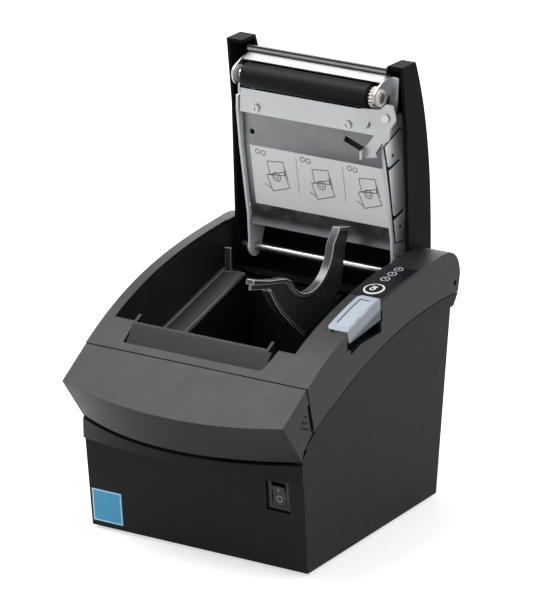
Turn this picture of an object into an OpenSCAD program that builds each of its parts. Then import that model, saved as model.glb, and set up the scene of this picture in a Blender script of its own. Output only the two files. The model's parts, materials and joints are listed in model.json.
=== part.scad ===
// Receipt printer with its paper cover standing open.
// +X is the printer's right seen from the front, +Y points to the back, Z = 0 is the desk.
// Every cover piece is drawn with the cover shut, and opened() swings it to its place.

/* [Body] */
// Depth from the nose of the hood to the back
body_d = 195; // [191:1:205]
// Thickness of the moulded walls
wall = 2.5; // [2:0.1:3]
// Height of the rubber feet
foot_h = 2; // [1.5:0.5:4]
// Height of the top at the front seam
top_front_h = 110.6; // [109:0.2:112]
// Height of the top at the back
top_rear_h = 143.6; // [142:0.2:146]
// How much each side leans in towards the floor
side_draft = 1.3; // [0.5:0.1:2]
// Open joint between two shells
seam_gap = 0.6; // [0.3:0.1:0.8]

/* [Hood] */
// Depth of the hood in front of the seam
hood_d = 32.5; // [31:0.5:34]
// How far the nose bows forward between its ends
nose_bow = 8; // [5:0.5:10]
// How far the chin bows forward between its ends
chin_bow = 20.5; // [16:0.5:22]
// Height of the chin
chin_h = 69.8; // [69:0.2:71]
// Slope of the hood in degrees
hood_slope = 31.2; // [30:0.2:32]

/* [Cover] */
// Angle between shut and the open stop
cover_open = 93.2; // [88:0.2:94]
// Width of the left rail beside the cover
rail_left_w = 7.5; // [7:0.5:9]
// Width of the right rail that carries the panel
rail_right_w = 20; // [19:0.5:22]
// Running gap between the cover and the rails
cover_gap = 0.6; // [0.4:0.1:0.8]
// Thickness of the cover moulding
cover_wall = 2.2; // [1.8:0.1:2.6]
// Radius of the hinge shaft
hinge_r = 2.5; // [2:0.1:3]

/* [Paper path] */
// Widest paper roll that drops in
roll_w = 80; // [74:1:86]
// Width of the shelf left of the paper bay
shelf_w = 17.5; // [16:0.5:20]
// Room for the gears right of the paper bay
drive_w = 19; // [18:0.5:21]
// Radius of the platen roller
platen_r = 7; // [6.5:0.1:7]
// Radius of the platen shaft
shaft_r = 3; // [2.5:0.1:3]
// Running clearance of every turning pin in its bore
pin_clear = 0.08; // [0.05:0.01:0.1]
// How far the partition lifts out of its seat
partition_lift = 62; // [60:0.5:64]

/* [Hidden] */
$fn = 48;

// ---- shared places -------------------------------------------------------------------------
roll_play = 1;
body_w = rail_left_w + shelf_w + roll_w + roll_play + drive_w + rail_right_w;
hw = body_w / 2;
nose_y = -body_d / 2;
tail_y = body_d / 2;
seam_y = nose_y + hood_d;
floor_z = foot_h + wall;
eps = 0.01;
hinge_y = tail_y - 15.5;
hinge_z = top_rear_h - 18;
crown_y = tail_y - 17.5;
front_lean = 0.0766;
back_lean = 0.1336;
front_top_z = top_front_h - 42.6;
back_top_z = top_rear_h - 33.8;
tail_z = top_rear_h - 17;
opening_front_y = seam_y + 19.6;
open_x0 = -hw + rail_left_w;
open_x1 = hw - rail_right_w;

// paper bay
bay_x0 = open_x0 + shelf_w;
bay_x1 = bay_x0 + roll_w + roll_play;
path_x = (bay_x0 + bay_x1) / 2;
path_hw = roll_w / 2 + 7;
platen_y = opening_front_y + 19.8;
platen_drop = 25.774;
platen_z = top_z(platen_y) - platen_drop;
bay_front_y = platen_y - 0.4;
bay_rear_y = hinge_y - 15.5;
bay_r = (bay_rear_y - bay_front_y) / 2;
bay_mid_y = (bay_rear_y + bay_front_y) / 2;
bay_wall = 2;
bay_floor_z = floor_z + 20;
bay_mid_z = bay_floor_z + bay_r;

// ---- shared shapes -------------------------------------------------------------------------
// Cubic through heights a..d at equal steps of its control points.
function bernstein(a, b, c, d, t) =
    a * pow(1 - t, 3) + 3 * b * t * pow(1 - t, 2) + 3 * c * t * t * (1 - t) + d * pow(t, 3);
function arc(c, r, a0, a1, n) =
    [for (i = [0 : n]) let (a = a0 + (a1 - a0) * i / n) [c[0] + r * cos(a), c[1] + r * sin(a)]];
// Height of the top surface and of the side seam at depth y.
function top_z(y) =
    bernstein(top_front_h, top_front_h + 28.4, top_rear_h - 1.8, top_rear_h,
        (y - seam_y) / (crown_y - seam_y));
function side_seam_z(y) =
    bernstein(top_front_h - 31.8, top_front_h - 5.3, top_rear_h - 25.7, top_rear_h - 26.6,
        (y - seam_y) / (crown_y - seam_y));
function front_face_y(z) = seam_y - front_lean * (z - foot_h);
function back_face_y(z) = tail_y - 25.3 + back_lean * (z - foot_h);
function top_curve(y0, y1, n, drop = 0) =
    [for (i = [0 : n]) let (y = y0 + (y1 - y0) * i / n) [y, top_z(y) - drop]];
function seam_curve(y0, y1, n, lift = 0) =
    [for (i = [0 : n]) let (y = y0 + (y1 - y0) * i / n) [y, side_seam_z(y) + lift]];
// Rounded back of the top, from the crown down to the tail.
function tail_curve(inset, n) =
    [for (i = [0 : n]) let (t = i / n)
        [bernstein(crown_y, crown_y + 12, tail_y - inset, tail_y - inset, t),
         bernstein(top_rear_h - inset, top_rear_h - inset, tail_z + 9.4, tail_z, t)]];
function reversed(pts) = [for (i = [len(pts) - 1 : -1 : 0]) pts[i]];
// A strip of even height below a line of points.
function strip(pts, t) = concat(pts, reversed([for (p = pts) [p[0], p[1] - t]]));

module slab_x(pts, x0, x1) {
    translate([x0, 0, 0]) rotate([90, 0, 90]) linear_extrude(x1 - x0) polygon(pts);
}
module slab_y(pts, y0, y1) {
    translate([0, y1, 0]) rotate([90, 0, 0]) linear_extrude(y1 - y0) polygon(pts);
}
module slab_z(pts, z0, z1) {
    translate([0, 0, z0]) linear_extrude(z1 - z0) polygon(pts);
}
module block(x0, x1, y0, y1, z0, z1) {
    translate([x0, y0, z0]) cube([x1 - x0, y1 - y0, z1 - z0]);
}
module rod_x(y, z, r, x0, x1) {
    translate([x0, y, z]) rotate([0, 90, 0]) cylinder(r = r, h = x1 - x0);
}
// The drafted side walls, as one prism seen from the front.
module side_prism(inset) {
    slab_y([[-hw + side_draft + inset, 0], [hw - side_draft - inset, 0], [hw - inset, back_top_z],
        [hw - inset, 200], [-hw + inset, 200], [-hw + inset, back_top_z]], -120, 120);
}
module opened() {
    translate([0, hinge_y, hinge_z]) rotate([-cover_open, 0, 0]) translate([0, -hinge_y, -hinge_z])
        children();
}

// ---- lower case ----------------------------------------------------------------------------
seam_front = [seam_y - 3.4, top_front_h - 35.3];
hood_low = [seam_y + 7, top_front_h - 26.7];
tail_low = [tail_y - 2.5, tail_z - 10.4];
tail_step = [tail_y - 7.5, back_top_z];
lower_outline = concat(
    [[front_face_y(foot_h), foot_h], [front_face_y(front_top_z), front_top_z], seam_front],
    seam_curve(hood_low[0], crown_y, 20), [tail_low, tail_step],
    [[back_face_y(back_top_z), back_top_z], [back_face_y(foot_h), foot_h]]);
lower_cavity = [[front_face_y(floor_z) + wall, floor_z], [front_face_y(front_top_z) + wall, front_top_z],
    [front_face_y(front_top_z) + wall, 200], [back_face_y(back_top_z) - wall, 200],
    [back_face_y(back_top_z) - wall, back_top_z],
    [back_face_y(floor_z) - wall, floor_z]];
back_wall_top_z = back_top_z - 1.8;
lip_top_z = chin_h - 2.2;
lip_t = 2.8;
function bow(y, d, x) = y - d * (1 - pow(x / hw, 2));
function bow_curve(y, d, x1, n) = [for (i = [0 : n]) let (x = -x1 + 2 * x1 * i / n) [x, bow(y, d, x)]];
switch_x0 = hw - 25.5;
switch_x1 = hw - 10.5;
switch_z0 = foot_h + 34.3;
switch_z1 = foot_h + 53.9;
// left edge, width and height of each socket in the back
ports = [[hw - 124.5, 12, 14], [hw - 104.5, 13, 12], [hw - 82.5, 16, 14], [hw - 58.5, 16, 13],
    [hw - 34.5, 31, 13]];
port_z = floor_z + 8;

module lower_case() color([0.12, 0.12, 0.13]) {
    difference() {
        union() {
            intersection() {
                slab_x(lower_outline, -hw, hw);
                side_prism(0);
            }
            intersection() {
                slab_z(concat(bow_curve(seam_y - 5.3, chin_bow, hw - 0.4, 24),
                    [[hw - 0.4, seam_y - 3], [-hw + 0.4, seam_y - 3]]), 50, lip_top_z);
                slab_x([[nose_y, lip_top_z - lip_t], [nose_y, lip_top_z], [seam_y - 3, lip_top_z],
                    [seam_y - 3, lip_top_z - 12], [seam_y - 4.4, lip_top_z - 12]], -hw, hw);
            }
        }
        intersection() {
            slab_x(lower_cavity, -hw, hw);
            side_prism(wall);
        }
        block(-hw + wall, hw - wall, hinge_y - 22, tail_y + 5, back_wall_top_z, 200);
        block(switch_x0, switch_x1, seam_y - 10, seam_y + 5, switch_z0, switch_z1);
        for (p = ports)
            block(p[0], p[0] + p[1], tail_y - 35, tail_y, port_z, port_z + p[2]);
        for (i = [0 : 8])
            block(-44 + 6 * i, -41 + 6 * i, tail_y - 35, tail_y, port_z + 24, port_z + 38);
    }
    for (x = [board_x0 + 5, board_x1 - 5], y = [board_y0 + 5, board_y1 - 5])
        translate([x, y, floor_z - eps]) difference() {
            cylinder(r = 3.5, h = 5.5 + eps);
            translate([0, 0, 1]) cylinder(r = 1.3, h = 6);
        }
}

module rubber_feet() color([0.08, 0.08, 0.08]) {
    for (x = [-hw + 14, hw - 14], y = [seam_y + 10, tail_y - 36])
        translate([x, y, 0]) cylinder(r = 6.5, h = foot_h);
}

// ---- top case ------------------------------------------------------------------------------
recess_x0 = open_x0 + 14.4;
recess_x1 = open_x1 - 12;
recess_y = seam_y + 4.6;
rail_wall = 1.8;
bush_r = hinge_r + 1.5;
upper_outline = concat(
    [[hood_low[0], side_seam_z(hood_low[0]) + seam_gap]], seam_curve(hood_low[0] + 4, crown_y, 19, seam_gap),
    [[tail_low[0], tail_low[1] + seam_gap]], reversed(tail_curve(0, 8)),
    reversed(top_curve(seam_y, crown_y - 2, 26)));
upper_cavity = concat(
    [[seam_y - 4, 60], [tail_y - wall, 60]], reversed(tail_curve(wall, 8)),
    reversed(top_curve(seam_y + 3, crown_y - 2, 26, wall)), [[seam_y - 4, top_z(seam_y) - 3.2]]);
opening_plan = concat(
    [[open_x0, tail_y + 9], [open_x0, opening_front_y], [recess_x0 - 1.6, opening_front_y],
     [recess_x0, recess_y]],
    arc([recess_x1 - 3, recess_y + 3], 3, -90, -10, 5),
    [[recess_x1 + 1.4, opening_front_y], [open_x1, opening_front_y], [open_x1, tail_y + 9]]);
panel_y0 = seam_y + 76.8;
panel_y1 = seam_y + 117;
panel_t = 1.5;
button_y0 = seam_y + 41.5;
button_y1 = panel_y0 - 0.4;
button_x0 = open_x1 + 6.2;
button_clear = 0.4;
feed_x = hw - 10.2;
feed_y = panel_y0 + 9.4;
feed_r = 5.2;
lamp_x = hw - 11;
lamp_ys = [panel_y0 + 22.6, panel_y0 + 30, panel_y0 + 37];
pin_hole = [tail_y - 5.8, tail_z - 3.7];
ledge_w = 1;
ledge_drop = 2.6;
ledge_deep = 11.5;
ledge_y0 = opening_front_y + 42;
ledge_y1 = hinge_y - 12;

// The strip of the top that the rail pieces lie in, from y0 to y1 and t thick.
module rail_strip(x0, x1, y0, y1, t, lift = 0) {
    slab_x(strip(top_curve(y0, y1, 8, -lift), t), x0, x1);
}
module top_case() color([0.16, 0.16, 0.17]) {
    difference() {
        union() {
            difference() {
                intersection() {
                    slab_x(upper_outline, -hw, hw);
                    side_prism(0);
                }
                intersection() {
                    slab_x(upper_cavity, -hw, hw);
                    side_prism(wall);
                }
            }
            // inner walls of the two rails, and the front wall of the recess
            for (x = [open_x0 - rail_wall, open_x1])
                slab_x(concat([[seam_y + 4, top_z(seam_y) - 12], [hinge_y + 0.6, hinge_z - 25],
                    [hinge_y + 0.6, back_wall_top_z + 0.4], [tail_y - 7, back_wall_top_z + 0.4],
                    [tail_y - 2, tail_z - 8]], reversed(tail_curve(0.8, 8)),
                    reversed(top_curve(seam_y + 3, crown_y - 2, 20, 0.8))), x, x + rail_wall);
            block(recess_x0 - 4, recess_x1 + 6, recess_y - rail_wall, recess_y, top_z(seam_y) - 2.8,
                top_z(seam_y) - 0.5);
            // floor of the finger recess under the release button
            block(hw - 10, hw - wall + eps, button_y0 - 1, button_y1 + 2, top_z(button_y0) - 15.5,
                top_z(button_y0) - 13.5);
            block(hw - 10, hw - 8.6, button_y0 - 1, button_y1 + 2, top_z(button_y0) - 15.5,
                top_z(button_y0) + 1);
        }
        slab_z(opening_plan, 60, 200);
        block(open_x0, open_x1, crown_y - 30, tail_y + 9, 60, 200);
        // bed of the panel, hole of the feed button and slots of the lamps
        rail_strip(open_x1 - 1, hw + 1, panel_y0, panel_y1, panel_t, 0);
        rail_strip(open_x1 - 1, hw + 1, panel_y0, panel_y1, 3, 3 - panel_t);
        translate([feed_x, feed_y, 100]) cylinder(r = feed_r + 0.3, h = 60);
        // slot of the release button with its finger recess in the side
        slab_z(concat([[hw + 1, button_y1 + button_clear], [hw + 1, button_y0 - button_clear]],
            arc([button_x0 + 3 - button_clear, button_y0 + 3 - button_clear], 3, -90, -180, 4),
            arc([button_x0 + 3 - button_clear, button_y1 - 3 + button_clear], 3, 180, 90, 4)),
            top_z(button_y0) - 10.4, 200);
        slab_x([[button_y0 + 3.6, top_z(button_y0) - 13.5], [button_y1 + 1.6, top_z(button_y0) - 4],
            [button_y1 + 1.6, top_z(button_y0) + 2], [button_y0, top_z(button_y0) + 2]], hw - 8.6, hw + 1);
        // rebate along the inside of the left rail, with a slanted front end
        slab_x(concat(top_curve(opening_front_y, ledge_y1, 16, -1),
            reversed(top_curve(ledge_y0, ledge_y1, 12, ledge_drop)),
            [[ledge_y0 - 8.5, top_z(ledge_y0 - 8.5) - ledge_deep],
             [opening_front_y, top_z(opening_front_y) - ledge_deep]]), open_x0 - ledge_w, open_x0 + 1);
        rod_x(pin_hole[0], pin_hole[1], 1.6, hw - 1.2, hw + 1);
        rod_x(hinge_y, hinge_z, bush_r + 0.05, open_x0 - rail_wall - 1, open_x1 + rail_wall + 1);
    }
}

// ---- hood over the cutter ------------------------------------------------------------------
hood_n = 28;
function slope_z(y) = top_front_h - (seam_y - y) * tan(hood_slope);
// The hood's section at x, outside and inside.
function hood_section(x) = let (ny = bow(nose_y + nose_bow, nose_bow, x),
    cy = bow(seam_y - 5.3, chin_bow, x)) [
    [seam_y - seam_gap, slope_z(seam_y - seam_gap)], [ny, slope_z(ny)], [cy, chin_h],
    [seam_front[0] - seam_gap, seam_front[1]], [hood_low[0] - seam_gap, hood_low[1] + seam_gap]];
function hood_inside(x) = let (ny = bow(nose_y + nose_bow, nose_bow, x) + wall * 1.5,
    cy = bow(seam_y - 5.3, chin_bow, x) + wall * 1.1) [
    [seam_y + 12, slope_z(seam_y + 12) - wall * 1.2], [ny, slope_z(ny) - wall * 1.2], [cy, chin_h],
    [cy, chin_h - 9], [seam_y + 12, chin_h - 9]];
// Skins a list of sections that all have the same number of points.
module skin(sections) {
    n = len(sections[0]);
    m = len(sections);
    polyhedron([for (s = sections) each s], concat(
        [[for (i = [0 : n - 1]) i]], [[for (i = [n - 1 : -1 : 0]) (m - 1) * n + i]],
        [for (j = [0 : m - 2], i = [0 : n - 1]) [j * n + i, (j + 1) * n + i, j * n + (i + 1) % n]],
        [for (j = [0 : m - 2], i = [0 : n - 1])
            [j * n + (i + 1) % n, (j + 1) * n + i, (j + 1) * n + (i + 1) % n]]));
}
module cutter_cover() color([0.14, 0.14, 0.15]) {
    difference() {
        skin([for (i = [0 : hood_n]) let (x = (hw - 0.4) * (2 * i / hood_n - 1))
            [for (p = hood_section(x)) [x, p[0], p[1]]]]);
        skin([for (i = [0 : hood_n]) let (x = (hw - wall) * (2 * i / hood_n - 1))
            [for (p = hood_inside(x)) [x, p[0], p[1]]]]);
        for (s = [-1, 1])
            slab_x([[hood_low[0] - 3.6, hood_low[1] + 0.4], [hood_low[0] + 1, hood_low[1] + 0.4],
                [hood_low[0] - 3.6, hood_low[1] + 16.8], [hood_low[0] - 6.8, hood_low[1] + 16.8]],
                s * hw - 1.6, s * hw + 1.6);
    }
}

// ---- paper bay -----------------------------------------------------------------------------
bay_front_z = platen_z - platen_r - 8;
bay_rear_z = hinge_z - 14;
bay_side_z0 = platen_z - 9;
bay_side_z1 = hinge_z - 9.5;
groove_x = bay_x0 + 62.5;
partition_web = 1.6;
partition_rim = 5;
guide_y = bay_rear_y - 3.4;
seat_z = bay_mid_z + 8.8;
module paper_bucket() color([0.07, 0.07, 0.075]) {
    outer = concat([[bay_front_y - bay_wall, bay_front_z]],
        arc([bay_mid_y, bay_mid_z], bay_r + bay_wall, 180, 360, 32),
        [[bay_rear_y + bay_wall, bay_rear_z], [bay_rear_y - 6, bay_side_z1], [bay_front_y + 4, bay_side_z0]]);
    inner = concat([[bay_front_y, 200]], arc([bay_mid_y, bay_mid_z], bay_r, 180, 360, 32),
        [[bay_rear_y, 200]]);
    difference() {
        union() {
            slab_x(outer, bay_x0 - bay_wall, bay_x1 + bay_wall);
            for (x = [bay_x0 + 8, bay_x1 - 11])
                block(x, x + 3, bay_mid_y - 18, bay_mid_y + 18, floor_z, bay_floor_z + 3);
        }
        slab_x(inner, bay_x0, bay_x1);
        slab_x([[bay_front_y - 9, bay_front_z], [bay_front_y - 9, 200], [bay_rear_y - 5, 200],
            [bay_rear_y - 5, bay_side_z1 - 14]], bay_x1 - 1, bay_x1 + bay_wall + 1);
        // slots in the front and back walls for the arms of the partition
        block(groove_x - partition_rim / 2 - 0.4, groove_x + partition_rim / 2 + 0.4, bay_front_y - 5,
            bay_front_y + 5, seat_z, 200);
        block(groove_x - partition_rim / 2 - 0.4, groove_x + partition_rim / 2 + 0.4, guide_y,
            bay_rear_y + 5, seat_z, 200);
    }
    // upright ribs beside the slot in the back wall
    for (x = [groove_x - partition_rim / 2 - 1.6, groove_x + partition_rim / 2 + 0.4])
        block(x, x + 1.2, guide_y, bay_rear_y + eps, seat_z - 6, bay_rear_z);
}
module side_tray() color([0.1, 0.1, 0.105]) {
    y0 = bay_front_y - 6.4;
    y1 = bay_rear_y - 4;
    slope = [[y0, bay_side_z0 - 1.6], [y1, bay_side_z1]];
    slab_x(strip(slope, 2), open_x0 + 0.4, bay_x0 - bay_wall);
    slab_x(strip([for (p = slope) [p[0], p[1] + 1]], 2), open_x0 + 0.4, open_x0 + 2.4);
    block(open_x0 + 3.4, path_x - path_hw - 3.6, y1 - 2, y1 - 0.4, bay_side_z1 - 3, bay_side_z1 + 14);
}

// ---- print head ----------------------------------------------------------------------------
head_y = platen_y - platen_r - 0.3;
head_top_z = platen_z + 1.4;
head_pivot = [head_y - 3, platen_z - 19];
head_x0 = path_x - path_hw + 3;
head_x1 = path_x + path_hw - 3;
module print_head() color([0.8, 0.78, 0.7]) {
    block(head_x0 + 2, head_x1 - 2, head_y - 1, head_y, platen_z - 12, head_top_z);
}
module head_heatsink() color([0.62, 0.63, 0.65]) {
    difference() {
        union() {
            block(head_x0, head_x1, head_y - 5, head_y - 1, platen_z - 13, head_top_z);
            for (x = [head_x0, head_x1 - 4])
                slab_x(concat([[head_y - 5, platen_z - 12], [head_y - 1, platen_z - 12]],
                    arc(head_pivot, 2.6, 0, -180, 8)), x, x + 4);
        }
        for (i = [0 : 14])
            block(head_x0 + 5 + i * 5.4, head_x0 + 7.6 + i * 5.4, head_y - 6, head_y - 3, platen_z - 12,
                head_top_z + 1);
        rod_x(head_pivot[0], head_pivot[1], 1.5 + pin_clear, head_x0 - 1, head_x1 + 1);
    }
}
spring_r = 2.6;
module head_springs() color([0.75, 0.75, 0.77]) {
    for (x = [path_x - 26, path_x, path_x + 26])
        translate([x, head_y - 5.3, platen_z - 8]) rotate([90, 0, 0]) rotate_extrude($fn = 24)
            polygon(concat([[spring_r - 1, 6], [spring_r - 1, 0]],
                [for (i = [0 : 5]) each [[spring_r - 0.6, i], [spring_r, i + 0.5]]], [[spring_r - 0.6, 6]]));
}

guide_wall_y = opening_front_y - 3.2;
// ---- steel frame that carries the head and the cutter --------------------------------------
mech_t = 1.2;
mech_x0 = path_x - path_hw - 0.8;
mech_x1 = path_x + path_hw + 0.8;
mech_back_y = head_y - 5.3 - 6 - 0.3 - mech_t;
module mech_frame() color([0.66, 0.67, 0.68]) {
    back = mech_back_y + mech_t + 4;
    for (x = [mech_x0, mech_x1 - mech_t])
        difference() {
            slab_x([[seam_y + 8, floor_z], [back, floor_z], [back, head_pivot[1] + 8],
                [guide_wall_y - 3.4, head_top_z - 2], [seam_y - 6, head_pivot[1] + 10],
                [seam_y + 6, head_pivot[1] - 24]], x, x + mech_t);
            slab_x([[seam_y + 12, floor_z + 10], [back - 4, floor_z + 10], [back - 4, head_pivot[1] - 22],
                [seam_y + 12, head_pivot[1] - 22]], x - 1, x + 3);
        }
    block(mech_x0, mech_x1, mech_back_y, mech_back_y + mech_t, head_pivot[1] - 20, head_top_z - 3);
    for (x = [head_x0 - 0.4 - mech_t, head_x1 + 0.3])
        slab_x([[mech_back_y, head_pivot[1] - 4], [head_pivot[0] + 2.6, head_pivot[1] - 4],
            [head_pivot[0] + 2.6, head_pivot[1] + 3], [mech_back_y, head_pivot[1] + 9]], x, x + mech_t);
    rod_x(head_pivot[0], head_pivot[1], 1.5, head_x0 - 0.4 - mech_t, head_x1 + 0.3 + mech_t);
}

// ---- cutter under the hood, drawn flat with the blade plane at Z = 0 ------------------------
blade_t = 1;
gear_module = 0.8;
cutter_teeth = 12;
cutter_gear_x = path_x + 30;
cutter_gear_y = -22;
module cutter_frame_of_reference() {
    translate([0, guide_wall_y - 1.8, top_z(guide_wall_y) - 9]) rotate([hood_slope, 0, 0]) children();
}
module cutter_frame() color([0.7, 0.71, 0.72]) cutter_frame_of_reference() {
    difference() {
        union() {
            block(path_x - path_hw - 2, path_x + path_hw + 2, -40, -1.9, -2.9, -1.4);
            for (x = [mech_x0 - 1.2, mech_x1])
                block(x, x + 1.2, -40, -1.9, -12, 0.6);
            for (x = [path_x - 43, path_x + 38])
                block(x, x + 5, -17, -3, -1.4, -0.8);
        }
        translate([cutter_gear_x, cutter_gear_y, -10]) cylinder(r = 3, h = 12);
        for (x = [path_x - 34, path_x - 12, path_x + 10])
            block(x, x + 14, -34, -22, -5, 0);
    }
}
rack_x = cutter_gear_x + gear_module * cutter_teeth / 2;
module moving_blade() color([0.83, 0.84, 0.86]) cutter_frame_of_reference() {
    translate([0, 0, -0.7]) linear_extrude(blade_t)
        polygon([[path_x - 42, -16], [path_x - 42, -3], [path_x, -7], [path_x + 42, -3],
            [path_x + 42, -16]]);
    translate([rack_x, cutter_gear_y, -0.7]) linear_extrude(blade_t) rack(7, 2, 5, gear_module);
}
// Involute spur gear outline with z teeth.
function rot2(p, a) = [p[0] * cos(a) - p[1] * sin(a), p[0] * sin(a) + p[1] * cos(a)];
function involute(rb, t) = [rb * (cos(t) + t * PI / 180 * sin(t)), rb * (sin(t) - t * PI / 180 * cos(t))];
function gear_points(z, m, play = 0.12) = let (rp = m * z / 2, rb = rp * cos(20), ra = rp + m,
    rf = rp - 1.2 * m, ta = sqrt(pow(ra / rb, 2) - 1) * 180 / PI,
    tp = sqrt(pow(rp / rb, 2) - 1) * 180 / PI, inv = tp - atan(tp * PI / 180),
    half = 90 / z - play / rp * 45 / PI + inv,
    flank = [for (i = [0 : 4]) involute(rb, ta * i / 4)]) [for (k = [0 : z - 1]) each concat(
        [rot2([rf, 0], 360 * k / z - half - 1)], [for (p = flank) rot2(p, 360 * k / z - half)],
        [for (p = reversed(flank)) rot2([p[0], -p[1]], 360 * k / z + half)],
        [rot2([rf, 0], 360 * k / z + half + 1)])];
// Straight rack with n teeth below the pitch line at X = 0, its gap number k at Y = 0.
module rack(n, k, back, m, play = 0.06) {
    p = PI * m;
    tip = p / 4 - m * tan(20) - play;
    root = p / 4 + 1.2 * m * tan(20) - play;
    polygon(concat([[back, -p * (n - k)], [back, p * (k + 2)], [1.2 * m, p * (k + 2)]],
        [for (i = [0 : n - 1]) let (y = p * (k - i - 0.5)) each
            [[1.2 * m, y + root], [-m, y + tip], [-m, y - tip], [1.2 * m, y - root]]]));
}
module cutter_pinion() color([0.85, 0.84, 0.8]) cutter_frame_of_reference() {
    translate([cutter_gear_x, cutter_gear_y, -1]) difference() {
        union() {
            linear_extrude(3) polygon(gear_points(cutter_teeth, gear_module));
            cylinder(r = 2.4, h = 3.6);
        }
        translate([0, 0, -1]) cylinder(r = 1 + pin_clear, h = 8);
    }
}
module cutter_motor() color([0.72, 0.73, 0.75]) cutter_frame_of_reference() {
    translate([cutter_gear_x, cutter_gear_y, 0]) {
        difference() {
            translate([0, 0, -16.9]) cylinder(r = 10, h = 14);
            for (s = [-1, 1])
                translate([s * 12.6, 0, -20]) cylinder(r = 4, h = 20);
        }
        translate([0, 0, -2.9 - eps]) cylinder(r = 1, h = 5);
        translate([0, 0, -19.4]) cylinder(r = 3.5, h = 2.5 + eps);
    }
}
module paper_guide() color([0.06, 0.06, 0.065]) {
    x0 = path_x - 44.2;
    x1 = path_x + 44.8;
    rise = 2.4;
    apron_y = recess_y + 0.4;
    apron_t = 1.4;
    difference() {
        union() {
            slab_x([[guide_wall_y - 1.8, head_top_z + 2], [guide_wall_y, head_top_z + 2],
                [guide_wall_y, top_z(guide_wall_y) + rise],
                [guide_wall_y - 1.8, top_z(guide_wall_y - 1.8) + rise]], x0, x1);
            // apron that slopes down to the front of the recess
            intersection() {
                slab_x([[guide_wall_y - 1, top_z(guide_wall_y) + rise - 1.2],
                    [guide_wall_y - 1.8, top_z(guide_wall_y - 1.8) + rise], [apron_y, top_z(recess_y) - 2.2],
                    [apron_y, top_z(recess_y) - 2.2 - apron_t], [guide_wall_y - 1, top_z(guide_wall_y) - 2]],
                    recess_x0, recess_x1);
                slab_z(concat([[recess_x0 + 0.3, guide_wall_y], [recess_x0 + 0.5, apron_y]],
                    arc([recess_x1 - 3.4, recess_y + 3.4], 3, -90, -10, 5),
                    [[recess_x1, guide_wall_y]]), 60, 200);
            }
            for (x = [x0, x1 - 1.8])
                slab_x([[guide_wall_y - 1.8, head_top_z + 2], [guide_wall_y + 5.4, head_top_z + 8],
                    [guide_wall_y + 5.4, top_z(guide_wall_y + 5.4) + rise],
                    [guide_wall_y - 1.8, top_z(guide_wall_y - 1.8) + rise]], x, x + 1.8);
        }
        cutter_frame_of_reference() block(path_x - 43, path_x + 43, -6, 12, -1.3, 0.9);
    }
}

// ---- hinge ---------------------------------------------------------------------------------
module hinge_shaft() color([0.85, 0.86, 0.88]) {
    rod_x(hinge_y, hinge_z, hinge_r, open_x0 - rail_wall - 1, open_x1 + rail_wall + 1);
}
module hinge_bushes() color([0.2, 0.2, 0.21]) {
    for (x = [open_x0 - rail_wall, open_x1])
        difference() {
            union() {
                rod_x(hinge_y, hinge_z, bush_r, x, x + rail_wall);
                rod_x(hinge_y, hinge_z, bush_r + 1.5, x == open_x1 ? x + rail_wall : x - 1,
                    x == open_x1 ? x + rail_wall + 1 : x);
            }
            rod_x(hinge_y, hinge_z, hinge_r + pin_clear, x - 3, x + 6);
        }
}

// ---- partition for narrow rolls, drawn lifted to the height it is dropped in from ------------
part_arc_y = bay_mid_y + 7.6;
part_seat_z = bay_mid_z + 18.6;
part_arc_z = part_seat_z + partition_lift;
part_arc_r = 23.6;
module partition_outline() {
    polygon(concat(
        arc([part_arc_y, part_arc_z], part_arc_r, -152, -8, 18),
        [[part_arc_y + 30.5, part_arc_z + 5], [part_arc_y + 41.4, part_arc_z + 2.4],
         [part_arc_y + 42.2, part_arc_z - 3], [part_arc_y + 39, part_arc_z - 8],
         [part_arc_y + 35.8, part_arc_z - 22], [part_arc_y + 34.2, part_arc_z - 31],
         [part_arc_y + 26, part_arc_z - 35], [part_arc_y + 23.5, part_arc_z - 39.5],
         [part_arc_y + 4, part_arc_z - 43.5], [part_arc_y - 8, part_arc_z - 48],
         [part_arc_y - 20, part_arc_z - 38], [part_arc_y - 30, part_arc_z - 28.5],
         [part_arc_y - 37, part_arc_z - 20], [part_arc_y - 43.5, part_arc_z - 10],
         [part_arc_y - 46, part_arc_z - 8.5], [part_arc_y - 60.4, part_arc_z - 4.5],
         [part_arc_y - 59, part_arc_z + 1.5], [part_arc_y - 44, part_arc_z - 3.6],
         [part_arc_y - 25.5, part_arc_z - 8]]));
}
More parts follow.
